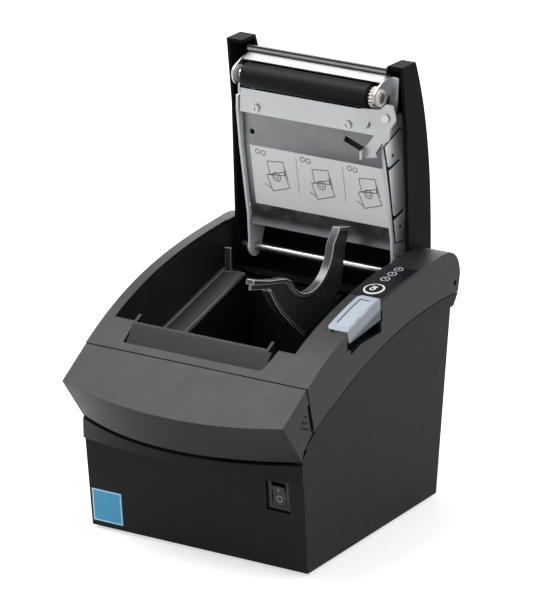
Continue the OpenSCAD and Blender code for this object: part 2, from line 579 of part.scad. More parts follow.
module partition() color([0.13, 0.13, 0.135]) {
    translate([groove_x - partition_web / 2, 0, 0]) rotate([90, 0, 90])
        linear_extrude(partition_web) partition_outline();
    // stiffening rim along the paper arc and the arms
    translate([groove_x - partition_rim / 2, 0, 0]) rotate([90, 0, 90]) linear_extrude(partition_rim)
        polygon(concat(arc([part_arc_y, part_arc_z], part_arc_r, -152, -8, 18),
            [[part_arc_y + 30.5, part_arc_z + 5], [part_arc_y + 41.4, part_arc_z + 2.4],
             [part_arc_y + 42, part_arc_z + 0.4], [part_arc_y + 31.8, part_arc_z + 2.6]],
            arc([part_arc_y, part_arc_z], part_arc_r + 2, -6, -150, 18),
            [[part_arc_y - 26.4, part_arc_z - 10.2], [part_arc_y - 43.6, part_arc_z - 6],
             [part_arc_y - 60.4, part_arc_z - 1.2], [part_arc_y - 59, part_arc_z + 1.5],
             [part_arc_y - 44, part_arc_z - 3.6], [part_arc_y - 25.5, part_arc_z - 8]]));
    translate([groove_x - partition_rim / 2, 0, 0]) rotate([90, 0, 90]) linear_extrude(partition_rim)
        polygon([[part_arc_y - 8, part_arc_z - 48], [part_arc_y - 20, part_arc_z - 38],
            [part_arc_y - 30, part_arc_z - 28.5], [part_arc_y - 37, part_arc_z - 20],
            [part_arc_y - 43.5, part_arc_z - 10], [part_arc_y - 41.5, part_arc_z - 9.4],
            [part_arc_y - 35.4, part_arc_z - 18.8], [part_arc_y - 28.6, part_arc_z - 26.9],
            [part_arc_y - 18.8, part_arc_z - 36.3], [part_arc_y - 7.4, part_arc_z - 45.6]]);
}

// ---- paper feed ----------------------------------------------------------------------------
gear_x0 = bay_x1 + bay_wall + 0.4;
gear_w = 2.4;
feed_module = 0.6;
pinion_teeth = 12;
idler_teeth = 30;
platen_teeth = 18;
idler_r = feed_module * idler_teeth / 2;
mesh_gap = 2 * feed_module + 0.35;
idler_y = 5;
idler_c = [platen_y + idler_y,
    platen_z - sqrt(pow(idler_r + feed_module * platen_teeth / 2 + mesh_gap, 2) - pow(idler_y, 2))];
pinion_y = 4.6;
pinion_c = [idler_c[0] + pinion_y,
    idler_c[1] - sqrt(pow(idler_r + feed_module * pinion_teeth / 2, 2) - pow(pinion_y, 2))];
plate_x = gear_x0 + gear_w + 1.2;
module spur(c, z, x0, w, bore, twist = 0) {
    translate([x0, c[0], c[1]]) rotate([90, 0, 90]) difference() {
        linear_extrude(w) rotate(twist) polygon(gear_points(z, feed_module));
        translate([0, 0, -1]) cylinder(r = bore, h = w + 2);
    }
}
mesh_dir = atan2(pinion_c[1] - idler_c[1], pinion_c[0] - idler_c[0]);
module idler_gear() color([0.88, 0.87, 0.82]) {
    spur(idler_c, idler_teeth, gear_x0, gear_w, idler_pin_r + pin_clear, mesh_dir);
}
module motor_pinion() color([0.8, 0.68, 0.35]) {
    spur(pinion_c, pinion_teeth, gear_x0, gear_w + 0.4, motor_shaft_r + pin_clear,
        mesh_dir + 180 / pinion_teeth);
}
plate_t = 1.2;
plate_hw = 18;
motor_r = 17.5;
motor_l = 20.8;
motor_boss_r = 4.8;
motor_shaft_r = 1;
idler_pin_r = 1.5;
module gear_plate() color([0.72, 0.73, 0.74]) {
    low_z = pinion_c[1] - motor_r - 2.5;
    difference() {
        slab_x([[pinion_c[0] - plate_hw, low_z], [pinion_c[0] + plate_hw, low_z],
            [pinion_c[0] + plate_hw, pinion_c[1] + 8], [idler_c[0] + 8, idler_c[1] + 6],
            [idler_c[0] - 8, idler_c[1] + 6], [pinion_c[0] - plate_hw, pinion_c[1] + 8]],
            plate_x, plate_x + plate_t);
        rod_x(pinion_c[0], pinion_c[1], motor_boss_r + 0.2, plate_x - 1, plate_x + 3);
    }
    rod_x(idler_c[0], idler_c[1], idler_pin_r, gear_x0 - 0.2, plate_x + eps);
    // two legs and the foot that is screwed to the floor of the case
    for (y = [pinion_c[0] - plate_hw, pinion_c[0] + plate_hw - 8])
        block(plate_x, plate_x + plate_t, y, y + 8, floor_z, low_z + 1);
    block(plate_x, plate_x + 12, pinion_c[0] - plate_hw, pinion_c[0] + plate_hw, floor_z,
        floor_z + plate_t);
}
module feed_motor() color([0.2, 0.2, 0.21]) {
    rod_x(pinion_c[0], pinion_c[1], motor_r, plate_x + plate_t, plate_x + plate_t + motor_l);
    rod_x(pinion_c[0], pinion_c[1], motor_boss_r, plate_x - 0.4, plate_x + plate_t + eps);
    rod_x(pinion_c[0], pinion_c[1], motor_shaft_r, gear_x0 - 0.2, plate_x);
}

// ---- electronics ---------------------------------------------------------------------------
board_z = floor_z + 5.5;
board_t = 1.6;
board_x0 = bay_x0 + 12;
board_x1 = bay_x1 - 12;
board_y0 = bay_front_y - 12;
board_y1 = bay_rear_y - 14;
module main_board() color([0.1, 0.35, 0.2]) {
    block(board_x0, board_x1, board_y0, board_y1, board_z, board_z + board_t);
}
module board_parts() color([0.15, 0.15, 0.16]) {
    z = board_z + board_t;
    block(board_x0 + 20, board_x0 + 34, board_y0 + 40, board_y0 + 54, z, z + 1.6);
    block(board_x0 + 38, board_x0 + 48, board_y0 + 34, board_y0 + 40, z, z + 1.4);
    block(board_x0 + 8, board_x0 + 20, board_y0 + 4, board_y0 + 10, z, z + 5);
    block(board_x0 + 4, board_x0 + 10, board_y0 + 30, board_y0 + 60, z, z + 6);
    for (i = [0 : 3])
        translate([board_x1 - 29 + 8 * i, board_y0 + 8, z]) cylinder(r = 3.4, h = 9);
}
module interface_card() color([0.1, 0.32, 0.2]) {
    block(ports[1][0] - 2, ports[4][0] - 4, tail_y - 41.5, tail_y - 40, floor_z, port_z + 16);
}
module rear_ports() color([0.7, 0.71, 0.73]) {
    for (p = ports)
        difference() {
            block(p[0] + 0.5, p[0] + p[1] - 0.5, tail_y - 40, back_face_y(port_z) - 0.4, port_z + 0.5,
                port_z + p[2] - 0.5);
            block(p[0] + 2, p[0] + p[1] - 2, back_face_y(port_z) - 9, tail_y, port_z + 2, port_z + p[2] - 2);
        }
}

// ---- controls ------------------------------------------------------------------------------
module panel_insert() color([0.03, 0.03, 0.035]) {
    difference() {
        intersection() {
            rail_strip(open_x1 - 0.4, hw + 1, panel_y0 + 0.2, panel_y1 - 0.2, panel_t, 0.25);
            side_prism(0);
        }
        translate([feed_x, feed_y, 100]) cylinder(r = feed_r + 0.3, h = 60);
        for (y = lamp_ys)
            translate([lamp_x, y, 100]) cylinder(r = 1.6, h = 60);
    }
}
module feed_button() color([0.05, 0.05, 0.055]) {
    intersection() {
        translate([feed_x, feed_y, 100]) cylinder(r = feed_r, h = 60);
        rail_strip(open_x1, hw, panel_y0, panel_y0 + 30, 4, 0.5);
    }
}
module led_lenses() color([0.85, 0.87, 0.9]) {
    intersection() {
        for (y = lamp_ys)
            translate([lamp_x, y, 100]) cylinder(r = 1.55, h = 60);
        rail_strip(open_x1, hw, panel_y0, panel_y1, panel_t, 0.35);
    }
}
module release_button() color([0.66, 0.73, 0.82, 0.9]) {
    intersection() {
        difference() {
            slab_x(concat(top_curve(button_y0, button_y1, 8, -0.8), [[button_y1, top_z(button_y1) - 11.5],
                [button_y0 + 2, top_z(button_y0) - 6.5]]), button_x0, hw + 0.5);
            slab_x([[button_y0 + 4, top_z(button_y0) - 20], [button_y0 + 4, top_z(button_y0 + 4) - 2.4],
                [button_y1 - 3, top_z(button_y1 - 3) - 2.4], [button_y1 - 3, top_z(button_y0) - 20]],
                button_x0 + 2.4, hw - 2.4);
            // engraved line along the left side and the back of the finger pad
            rail_strip(button_x0 + 3, button_x0 + 3.8, button_y0 + 6, button_y1 - 4, 0.5, 0.9);
            rail_strip(button_x0 + 3, hw - 4.5, button_y1 - 4.8, button_y1 - 4, 0.5, 0.9);
        }
        slab_z(concat([[hw - 0.1, button_y0], [hw - 0.1, button_y1]],
            arc([button_x0 + 3, button_y1 - 3], 3, 90, 180, 4),
            arc([button_x0 + 3, button_y0 + 3], 3, 180, 270, 4)), 60, 200);
    }
}
switch_lean = atan(front_lean);
module on_front_face(z) {
    translate([0, front_face_y(z), z]) rotate([switch_lean, 0, 0]) children();
}
switch_mid_x = (switch_x0 + switch_x1) / 2;
switch_mid_z = (switch_z0 + switch_z1) / 2;
switch_h = switch_z1 - switch_z0 - 1.4;
rocker_y = 7;
rocker_tilt = 5;
module switch_housing() color([0.05, 0.05, 0.055]) on_front_face(switch_mid_z) {
    difference() {
        block(switch_x0 + 0.4, switch_x1 - 0.4, 1.4, 18, -switch_h / 2, switch_h / 2);
        block(switch_mid_x - 4.6, switch_mid_x + 4.6, -1, 10, -7.2, 7.2);
    }
    for (s = [-1, 1])
        rod_x(rocker_y, 0, 1, switch_mid_x + s * 4.7 - 1, switch_mid_x + s * 4.7 + 1);
}
module power_rocker() color([0.04, 0.04, 0.045]) on_front_face(switch_mid_z)
    translate([0, rocker_y, 0]) rotate([rocker_tilt, 0, 0]) difference() {
        slab_x(concat([[1.8, -4], [1.8, 4], [-5, 6.2], [-6.6, 6.2]], arc([-19.6, 0], 14.3, 22, -22, 8),
            [[-6.6, -6.2], [-5, -6.2]]), switch_mid_x - 4.2, switch_mid_x + 4.2);
        rod_x(0, 0, 1 + pin_clear, switch_mid_x - 6, switch_mid_x + 6);
    }
sticker_s = 20;
module front_sticker() color([0.1, 0.5, 0.75]) on_front_face(floor_z + 10.5) {
    block(-hw + 2.4, -hw + 2.4 + sticker_s, -0.15, 0, -sticker_s / 2, sticker_s / 2);
}

// ---- cover, drawn shut ---------------------------------------------------------------------
cover_x0 = open_x0 + cover_gap;
cover_x1 = open_x1 - cover_gap;
cover_front_y = opening_front_y + 2 * cover_gap;
lip_x0 = path_x - path_hw + 0.4;
lip_x1 = path_x + path_hw - 1.3;
corner_w = 9.1;
lip_y0 = cover_front_y + 4.2;
lip_y1 = lip_y0 + 2.6;
lip_low_z = platen_z + 8.8;
lip_h = 2.2;
lip_flange = 6;
mouth_y = lip_y1 + 1.2;
cover_edge = [[tail_low[0], tail_low[1]], [hinge_y - 4, hinge_z - 7.1], [hinge_y - 22, hinge_z - 7.6],
    [platen_y + 20.6, platen_z + 10.2]];
// The chin swings past the front of the opening, so it lies on a circle round the hinge.
swing_r = hinge_y - opening_front_y - 0.4;
cover_chin = [hinge_y - sqrt(pow(swing_r, 2) - pow(hinge_z - platen_z - 4, 2)), platen_z + 4];
module cover_shell() color([0.17, 0.17, 0.175]) opened() {
    inner_y = cover_chin[0] + cover_wall * 0.9;
    difference() {
        slab_x(concat([cover_chin], top_curve(cover_front_y, crown_y - 2, 22), tail_curve(0, 8),
            cover_edge), cover_x0, cover_x1);
        slab_x(concat([[inner_y, 60], [inner_y, cover_chin[1]]],
            top_curve(cover_front_y + cover_wall, crown_y - 2, 22, cover_wall), tail_curve(cover_wall, 8),
            [[tail_low[0] - cover_wall, tail_low[1]], [tail_low[0] - cover_wall, 60]]),
            cover_x0 + cover_wall, cover_x1 - cover_wall);
        // mouth of the paper, filled by the lip
        slab_z([[lip_x0 - 0.2, nose_y], [lip_x0 - 0.2, mouth_y], [lip_x1 + 0.2, mouth_y],
            [lip_x1 + 0.2, lip_y0], [cover_x1 - corner_w, cover_front_y], [cover_x1 - corner_w, nose_y]],
            lip_low_z - 40, top_rear_h);
        rod_x(hinge_y, hinge_z, hinge_r + pin_clear, cover_x0 - 1, cover_x1 + 1);
    }
}
// Tear bar with a ramp that rises to the mouth and a flange that lies under the shell.
module cover_lip() color([0.06, 0.06, 0.065]) opened() {
    back_y = mouth_y + lip_flange;
    under = cover_wall + 0.1;
    slab_x([[lip_y0, lip_low_z], [lip_y0, lip_low_z + lip_h], [mouth_y - 0.3, top_z(mouth_y) - 0.6],
        [mouth_y - 0.3, top_z(mouth_y - 0.3) - under], [back_y, top_z(back_y) - under],
        [back_y, top_z(back_y) - under - 1.6], [mouth_y + 0.3, top_z(mouth_y) - under - 2],
        [lip_y1 + 0.2, lip_low_z + lip_h], [lip_y1, lip_low_z]], lip_x0, lip_x1);
}
sheet = 1;
plate_x0 = path_x - path_hw;
plate_x1 = path_x + path_hw;
// opening for the paper end sensor: its near corner, its turn and its size
sensor_x = 25.6;
sensor_y = 27.2;
sensor_turn = 21.5;
sensor_l = 13.6;
sensor_w = 3.6;
guide_line = [[platen_y + 11.6, platen_z + 4.2], [platen_y + 22.6, platen_z + 6.7],
    [platen_y + 43.6, platen_z + 9], [hinge_y - 21, hinge_z - 4.6], [hinge_y - 15.5, hinge_z - 6.2]];
module guide_plate() color([0.75, 0.76, 0.77]) opened() {
    difference() {
        slab_x(strip(guide_line, sheet), plate_x0, plate_x1);
        // slanted opening for the paper end sensor
        translate([plate_x1 - sensor_x, platen_y + sensor_y, 0]) rotate(sensor_turn)
            block(0, sensor_l, 0, sensor_w, 60, 200);
        for (x = [plate_x0 + 6, plate_x1 - 9])
            translate([x, platen_y + 35, 60]) cylinder(r = 1.6, h = 140);
    }
}
mount_y0 = platen_y + 8.6;
mount_y1 = platen_y + 22.6;
mount_z = platen_z + 1.2;
module mount_plate() color([0.8, 0.81, 0.82]) opened() {
    slab_x([[mount_y0, mount_z], [mount_y1, mount_z], [mount_y1, platen_z + 5.6],
        [mount_y1 - sheet, platen_z + 5.4],
        [mount_y1 - sheet, mount_z + sheet], [mount_y0, mount_z + sheet]], plate_x0 + 1.2, plate_x1 - 1.2);
}
label_t = 0.15;
label_gap = 0.02;
module instruction_label() color([0.93, 0.93, 0.92]) opened() {
    a = guide_line[2];
    slope = (guide_line[3][1] - a[1]) / (guide_line[3][0] - a[0]);
    slab_x(strip([for (y = [a[0] - 0.5, guide_line[3][0] - 7.2])
        [y, a[1] - sheet - label_gap + slope * (y - a[0])]], label_t),
        plate_x0 + 4, plate_x1 - 1);
}
frame_t = 1.5;
frame_front_y = platen_y + 13.2;
frame_side = concat([[frame_front_y, mount_z - 0.3], [mount_y1 - 1, mount_z],
    [guide_line[2][0], guide_line[2][1] - 4], [guide_line[3][0], guide_line[3][1] - 3.6]],
    arc([hinge_y, hinge_z], 6, -90, 90, 10),
    reversed(top_curve(frame_front_y, hinge_y - 12, 8, 8)));
module cover_frame() color([0.6, 0.61, 0.62]) opened() {
    difference() {
        union() {
            for (x = [plate_x0 - frame_t, plate_x1])
                slab_x(frame_side, x, x + frame_t);
            slab_x(strip(top_curve(frame_front_y + 2, hinge_y - 14, 8, 9), sheet),
                plate_x0 - 1, plate_x1 + 1);
            rod_x(hinge_y, hinge_z, hinge_r + 2, plate_x0 - frame_t - 1.6, plate_x0 - 1);
        }
        rod_x(hinge_y, hinge_z, hinge_r + pin_clear, plate_x0 - 5, plate_x1 + 5);
        for (p = [[guide_line[2][0] - 6, guide_line[2][1] - 0.4],
                [guide_line[3][0] - 6, guide_line[3][1] - 2]])
            rod_x(p[0], p[1], 1.3, plate_x0 - 5, plate_x1 + 5);
    }
}
module fixed_blade() color([0.8, 0.81, 0.83]) opened() {
    slab_x([[lip_y1 + 1.2, platen_z + 11.1], [platen_y - 6.8, platen_z + 4.1],
        [platen_y - 7.7, platen_z + 3.6],
        [lip_y1 + 0.3, platen_z + 10.6]], plate_x0 + 1.4, plate_x1 - 1.4);
}
bearing_r = shaft_r + 2;
module bracket(x) {
    difference() {
        slab_x(concat([[lip_y1 + 0.9, platen_z + 11.2], [platen_y - 8, platen_z + 2.7]],
            arc([platen_y, platen_z], bearing_r + 1.2, -160, -20, 8),
            [[platen_y + 5.8, mount_z - 0.4], [frame_front_y - 1.2, mount_z - 0.4],
            [frame_front_y - 1.2, guide_line[0][1] - sheet - 0.2],
            [platen_y - 3, platen_z + 11.2]]), x, x + 1.2);
        rod_x(platen_y, platen_z, bearing_r + 0.05, x - 1, x + 2);
    }
}
lever_z = platen_z - 1.3;
lever_t = 1.5;
rivet_x = plate_x1 + 4.8;
rivet_y = platen_y + 10.8;
module bracket_left() color([0.78, 0.79, 0.8]) opened() bracket(plate_x0);
module bracket_right() color([0.78, 0.79, 0.8]) opened() {
    bracket(plate_x1 - 1.2);
    // tab that carries the latch lever
    difference() {
        block(plate_x1 - eps, rivet_x + 4.4, rivet_y - 3.6, rivet_y + 2, lever_z + lever_t + 0.3,
            lever_z + lever_t + 1.5);
        translate([rivet_x, rivet_y, 60]) cylinder(r = 1.6, h = 100);
    }
}
module platen_bearings() color([0.83, 0.82, 0.78]) opened() {
    for (x = [plate_x0 - 1, plate_x1 - 1.2 - 0.5])
        difference() {
            rod_x(platen_y, platen_z, bearing_r, x, x + 2.7);
            rod_x(platen_y, platen_z, shaft_r + pin_clear, x - 1, x + 4);
        }
}
strip_t = 1.2;
strip_w = 6;
module side_strip() color([0.8, 0.81, 0.82]) opened() {
    slab_x(strip([[lip_y1 + 2, platen_z + 11.4], [platen_y - 1.4, platen_z + 11],
        [frame_front_y - 0.3, platen_z + 10.1]], strip_t), plate_x1, plate_x1 + strip_w);
    slab_x(strip([[frame_front_y - 0.4, platen_z + 10.1], [platen_y + 16.6, platen_z + 9.7]], strip_t),
        plate_x1 + frame_t, plate_x1 + strip_w);
}
module cover_screws() color([0.82, 0.82, 0.84]) opened() {
    for (x = [plate_x0 + 12, (plate_x0 + plate_x1) / 2 + 25.8])
        translate([x, platen_y + 19.1, mount_z - 1.4]) difference() {
            cylinder(r = 2.4, h = 1.4, $fn = 32);
            block(-1.6, 1.6, -0.35, 0.35, -1, 0.7);
            block(-0.35, 0.35, -1.6, 1.6, -1, 0.7);
        }
}
// outline of the latch lever about its rivet
lever_outline = [[-20.5, 1.7], [-19.6, -0.4], [-16.2, -3.3], [-3.6, -4.5], [0.2, -8.2], [4.1, -8],
    [6.2, 0.4], [2.7, 6.5], [2, 12.8], [-2.3, 15], [-6, 21.1], [-4.7, 23.2], [-14.3, 25.2], [-14.4,
    20.9], [-6.7, 10.3], [-10.4, 2.8], [-12.9, 8.3], [-15.5, 7.9], [-17.3, 5.8], [-20.4, 6]];
module latch_lever() color([0.8, 0.81, 0.83]) opened() {
    difference() {
        union() {
            translate([rivet_x, rivet_y, 0]) {
                slab_z(lever_outline, lever_z, lever_z + lever_t);
                slab_z([[-14.4, 20.9], [-14.3, 25.2], [-12.8, 24.9], [-12.9, 19]], lever_z - 3.4,
                    lever_z + eps);
            }
        }
        translate([rivet_x, rivet_y, 60]) cylinder(r = 1.5 + pin_clear, h = 100);
    }
}
module lever_rivet() color([0.86, 0.86, 0.87]) opened() translate([rivet_x, rivet_y, 0]) {
    translate([0, 0, lever_z - 0.2]) cylinder(r = 1.5, h = lever_t + 2.2);
    translate([0, 0, lever_z - 1.1]) cylinder(r = 2.6, h = 0.9);
}

// ---- platen --------------------------------------------------------------------------------
roller_hw = roll_w / 2 + 1.2;
module platen_roller() color([0.05, 0.05, 0.05]) opened() difference() {
    rod_x(platen_y, platen_z, platen_r, path_x - roller_hw, path_x + roller_hw);
    rod_x(platen_y, platen_z, shaft_r + 0.02, path_x - roller_hw - 1, path_x + roller_hw + 1);
}
module platen_shaft() color([0.85, 0.86, 0.88]) opened()
    rod_x(platen_y, platen_z, shaft_r, plate_x0 - 1.6, plate_x1 + 1.8);
module platen_gear() color([0.88, 0.87, 0.82]) opened()
    spur([platen_y, platen_z], platen_teeth, gear_x0, gear_w - 0.2, shaft_r + 0.02);

lower_case();
rubber_feet();
top_case();
cutter_cover();
paper_bucket();
side_tray();
paper_guide();
hinge_shaft();
hinge_bushes();
partition();
print_head();
head_heatsink();
head_springs();
mech_frame();
cutter_frame();
moving_blade();
cutter_pinion();
cutter_motor();
feed_motor();
gear_plate();
motor_pinion();
idler_gear();
main_board();
board_parts();
interface_card();
rear_ports();
panel_insert();
feed_button();
led_lenses();
release_button();
switch_housing();
power_rocker();
front_sticker();
cover_shell();
cover_lip();
cover_frame();
guide_plate();
mount_plate();
instruction_label();
fixed_blade();
bracket_left();
bracket_right();
platen_bearings();
side_strip();
cover_screws();
latch_lever();
lever_rivet();
platen_roller();
platen_shaft();
platen_gear();
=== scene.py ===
import json
import math

import bpy
from mathutils import Matrix, Vector


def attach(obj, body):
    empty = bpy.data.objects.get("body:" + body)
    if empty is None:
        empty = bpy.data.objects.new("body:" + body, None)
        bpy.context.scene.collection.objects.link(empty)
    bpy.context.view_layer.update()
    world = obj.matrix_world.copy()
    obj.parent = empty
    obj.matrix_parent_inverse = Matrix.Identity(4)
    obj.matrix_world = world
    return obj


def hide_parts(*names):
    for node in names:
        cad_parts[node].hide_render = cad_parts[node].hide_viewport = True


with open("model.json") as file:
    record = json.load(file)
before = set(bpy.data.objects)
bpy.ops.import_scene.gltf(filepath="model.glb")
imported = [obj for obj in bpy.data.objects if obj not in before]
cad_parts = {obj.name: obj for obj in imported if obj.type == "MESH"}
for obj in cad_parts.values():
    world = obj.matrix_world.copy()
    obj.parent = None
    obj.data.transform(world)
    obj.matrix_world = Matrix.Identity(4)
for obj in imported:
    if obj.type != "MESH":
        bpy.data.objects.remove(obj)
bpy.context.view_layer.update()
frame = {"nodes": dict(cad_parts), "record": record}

# ---- viewpoint ------------------------------------------------------------------------------
# The printer is seen from its front right corner and a little above, from about three metres
# away through a long lens, so that its upright edges stay nearly parallel.
camera_at = Vector((1.506516, -2.331801, 1.138316))
camera_turn = math.radians(32.7585)
camera_lift = math.radians(19.9955)
camera_roll = math.radians(-0.874175)
camera_lens_mm = 318.847
sight_limit = 20
bpy.ops.object.camera_add()
camera = bpy.context.object
backward = Vector((math.sin(camera_turn) * math.cos(camera_lift),
                   -math.cos(camera_turn) * math.cos(camera_lift), math.sin(camera_lift)))
level = Vector((0, 0, 1)).cross(backward).normalized()
upright = backward.cross(level)
right = level * math.cos(camera_roll) + upright * math.sin(camera_roll)
upward = upright * math.cos(camera_roll) - level * math.sin(camera_roll)
turned = Matrix((right, upward, backward)).transposed().to_4x4()
camera.matrix_world = Matrix.Translation(camera_at) @ turned
camera.data.lens = camera_lens_mm
camera.data.sensor_fit = "AUTO"
camera.data.clip_end = sight_limit
bpy.context.scene.camera = camera
bpy.context.scene.view_settings.view_transform = "Standard"

# ---- table and light ------------------------------------------------------------------------
# A white table top carries the printer and runs on to the horizon. Large soft lamps light it
# from above, behind and the right, and a weak one from the front, so that its front stays dark.
MM = 0.001  # sizes of the printer are in millimetres; table, lamps and camera are in metres


class Wire:
    """A socket of a material. Python's operators build maths on it."""

    def __init__(self, surface, socket):
        self.surface, self.socket = surface, socket

    def __add__(self, other): return self.surface.maths("ADD", self, other)
    def __radd__(self, other): return self.surface.maths("ADD", other, self)
    def __sub__(self, other): return self.surface.maths("SUBTRACT", self, other)
    def __rsub__(self, other): return self.surface.maths("SUBTRACT", other, self)
    def __mul__(self, other): return self.surface.maths("MULTIPLY", self, other)
    def __rmul__(self, other): return self.surface.maths("MULTIPLY", other, self)
    def __lt__(self, other): return self.surface.maths("LESS_THAN", self, other)
    def __gt__(self, other): return self.surface.maths("GREATER_THAN", self, other)
    def __abs__(self): return self.surface.maths("ABSOLUTE", self)


class Surface:
    """A material in the making, with one method for every kind of node."""

    def __init__(self, name):
        self.material = bpy.data.materials.new(name)
        self.material.use_nodes = True
        self.tree = self.material.node_tree
        self.tree.nodes.clear()
        self.place = self.node("ShaderNodeTexCoord", out="Object")

    def node(self, kind, settings=None, sockets=None, out=0):
        made = self.tree.nodes.new(kind)
        for name, value in (settings or {}).items():
            setattr(made, name, value)
        for name, value in (sockets or {}).items():
            if isinstance(value, Wire):
                self.tree.links.new(value.socket, made.inputs[name])
            else:
                made.inputs[name].default_value = value
        return Wire(self, made.outputs[out]) if made.outputs else None

    def maths(self, operation, *values):
        return self.node("ShaderNodeMath", {"operation": operation}, dict(enumerate(values)))

    def noise(self, size_mm, detail=2.0, rough=0.5, place=None):
        """Noise from 0 to 1 whose patches are about size_mm across."""
        return self.node("ShaderNodeTexNoise", None, {
            "Vector": place or self.place, "Scale": 1 / (size_mm * MM),
            "Detail": detail, "Roughness": rough})

    def blend(self, amount, first, second):
        """Colour first where amount is 0, second where it is 1."""
        return self.node("ShaderNodeMix", {"data_type": "RGBA"},
                         {"Factor": amount, "A": first, "B": second}, out="Result")

    def axes(self):
        """The place on the piece in millimetres: across, back and up."""
        parts = self.node("ShaderNodeSeparateXYZ", None, {"Vector": self.place})
        return [Wire(self, socket) * (1 / MM) for socket in parts.socket.node.outputs]

    def plate_gap(self, u, v, middle, half, turn=0.0):
        """Distance from the outline of a turned rectangle, below 0 inside it."""
        c, s = math.cos(math.radians(turn)), math.sin(math.radians(turn))
        du, dv = u - middle[0], v - middle[1]
        return self.maths("MAXIMUM", abs(du * c + dv * s) - half[0], abs(dv * c - du * s) - half[1])

    def bar(self, u, v, middle, half, turn=0.0):
        return self.plate_gap(u, v, middle, half, turn) < 0.0

    def box_line(self, u, v, middle, half, turn, line):
        return abs(self.plate_gap(u, v, middle, half, turn)) < line / 2

    def ring(self, u, v, middle, radius, line):
        du, dv = u - middle[0], v - middle[1]
        return abs(self.maths("SQRT", du * du + dv * dv) - radius) < line / 2

    def any_of(self, masks):
        total = masks[0]
        for mask in masks[1:]:
            total = self.maths("MAXIMUM", total, mask)
        return total

    def bump(self, height, depth_mm):
        return self.node("ShaderNodeBump", None, {"Height": height, "Distance": depth_mm * MM},
                         out="Normal")

    def finish(self, **sockets):
        """Closes the material; underscores in the names of the sockets stand for spaces."""
        values = {name.replace("_", " "): value for name, value in sockets.items()}
        shader = self.node("ShaderNodeBsdfPrincipled", None, values)
        self.node("ShaderNodeOutputMaterial", None, {"Surface": shader})
        return self.material


def solid(colour):
    return (*colour, 1.0)


def coat_with(piece, *materials):
    """The first material covers the piece, a second one its broken edges."""
    faces = [face.material_index for face in piece.data.polygons]
    piece.data.materials.clear()
    for material in materials:
        piece.data.materials.append(material)
    for face, index in zip(piece.data.polygons, faces):
        face.material_index = min(index, len(materials) - 1)


def deselect():
    for chosen in bpy.context.selected_objects:
        chosen.select_set(False)


straight_rays = ("Is Camera Ray", "Is Glossy Ray", "Is Transmission Ray")
table_width = 14
fleck_mm = 60
dull_grey, dull_grey_paler, bright_grey = ((c, c, c) for c in (0.33, 0.35, 0.55))
table_glow = 0.6
deselect()
bpy.ops.mesh.primitive_plane_add(size=table_width, location=(0, 0, 0))
floor = bpy.context.object
floor.name = "table_top"
table_white = Surface("backdrop_white")
rays = table_white.node("ShaderNodeLightPath").socket.node.outputs
direct = table_white.any_of([Wire(table_white, rays[kind]) for kind in straight_rays])
flecks = table_white.blend(table_white.noise(fleck_mm), solid(dull_grey), solid(dull_grey_paler))
dull = table_white.node("ShaderNodeBsdfDiffuse", None, {"Color": flecks})
glow = table_white.node("ShaderNodeEmission", None,
                        {"Color": solid((1, 1, 1)), "Strength": table_glow})
pale = table_white.node("ShaderNodeBsdfDiffuse", None, {"Color": solid(bright_grey)})
bright = table_white.node("ShaderNodeAddShader", None, {0: glow, 1: pale})
table_white.node("ShaderNodeOutputMaterial", None, {
    "Surface": table_white.node("ShaderNodeMixShader", None, {0: direct, 1: dull, 2: bright})})
coat_with(floor, table_white.material)

# The room is white where it is looked at, straight or in a reflection, and dimmer as a light.
room_light, room_white = 0.4, 1.0
world = bpy.data.worlds.new("studio")
bpy.context.scene.world = world
world.use_nodes = True
sky = world.node_tree
sky.nodes.clear()
light_path = sky.nodes.new("ShaderNodeLightPath")
strength = sky.nodes.new("ShaderNodeMapRange")
strength.inputs["To Min"].default_value = room_light
strength.inputs["To Max"].default_value = room_white
either = None
for kind in straight_rays:
    larger = sky.nodes.new("ShaderNodeMath")
    larger.operation = "MAXIMUM"
    sky.links.new(light_path.outputs[kind], larger.inputs[0])
    if either:
        sky.links.new(either, larger.inputs[1])
    either = larger.outputs[0]
sky.links.new(either, strength.inputs["Value"])
backdrop = sky.nodes.new("ShaderNodeBackground")
backdrop.inputs["Color"].default_value = solid((1, 1, 1))
sky.links.new(strength.outputs[0], backdrop.inputs["Strength"])
sky.links.new(backdrop.outputs[0], sky.nodes.new("ShaderNodeOutputWorld").inputs["Surface"])


def softbox(name, at, towards, size, watts):
    bpy.ops.object.light_add(type="AREA", location=at)
    lamp = bpy.context.object
    lamp.name = name
    lamp.data.shape = "RECTANGLE"
    lamp.data.size, lamp.data.size_y = size
    lamp.data.energy = watts
    lamp.rotation_euler = (Vector(towards) - Vector(at)).to_track_quat("-Z", "Y").to_euler()


softbox("top_softbox", at=(-0.55, -0.08, 1.35), towards=(0, 0, 0.1), size=(0.95, 0.75), watts=24)
softbox("back_softbox", at=(-1.3, 2.0, 0.95), towards=(0, 0, 0.12), size=(1.6, 0.9), watts=17)
softbox("right_softbox", at=(1.3, 0.3, 0.9), towards=(0, 0, 0.12), size=(0.7, 0.9), watts=6)
softbox("front_fill", at=(0.3, -1.6, 1.1), towards=(0, 0, 0.16), size=(1.2, 0.8), watts=1.5)

# ---- lower case and rubber feet -------------------------------------------------------------
# The lower case is one deep ABS moulding, dyed charcoal and spark-eroded to a fine satin grain.
# Its edges are softly broken by the tool, and it stands on four moulded rubber feet.
nodes = frame["nodes"]
bodies = frame["record"]["behaviour"]["bodies"]
body_of = {node: body for body, group in bodies.items() for node in group}
weld_mm = 0.002
flat_deg = 0.5
corner_deg = 38


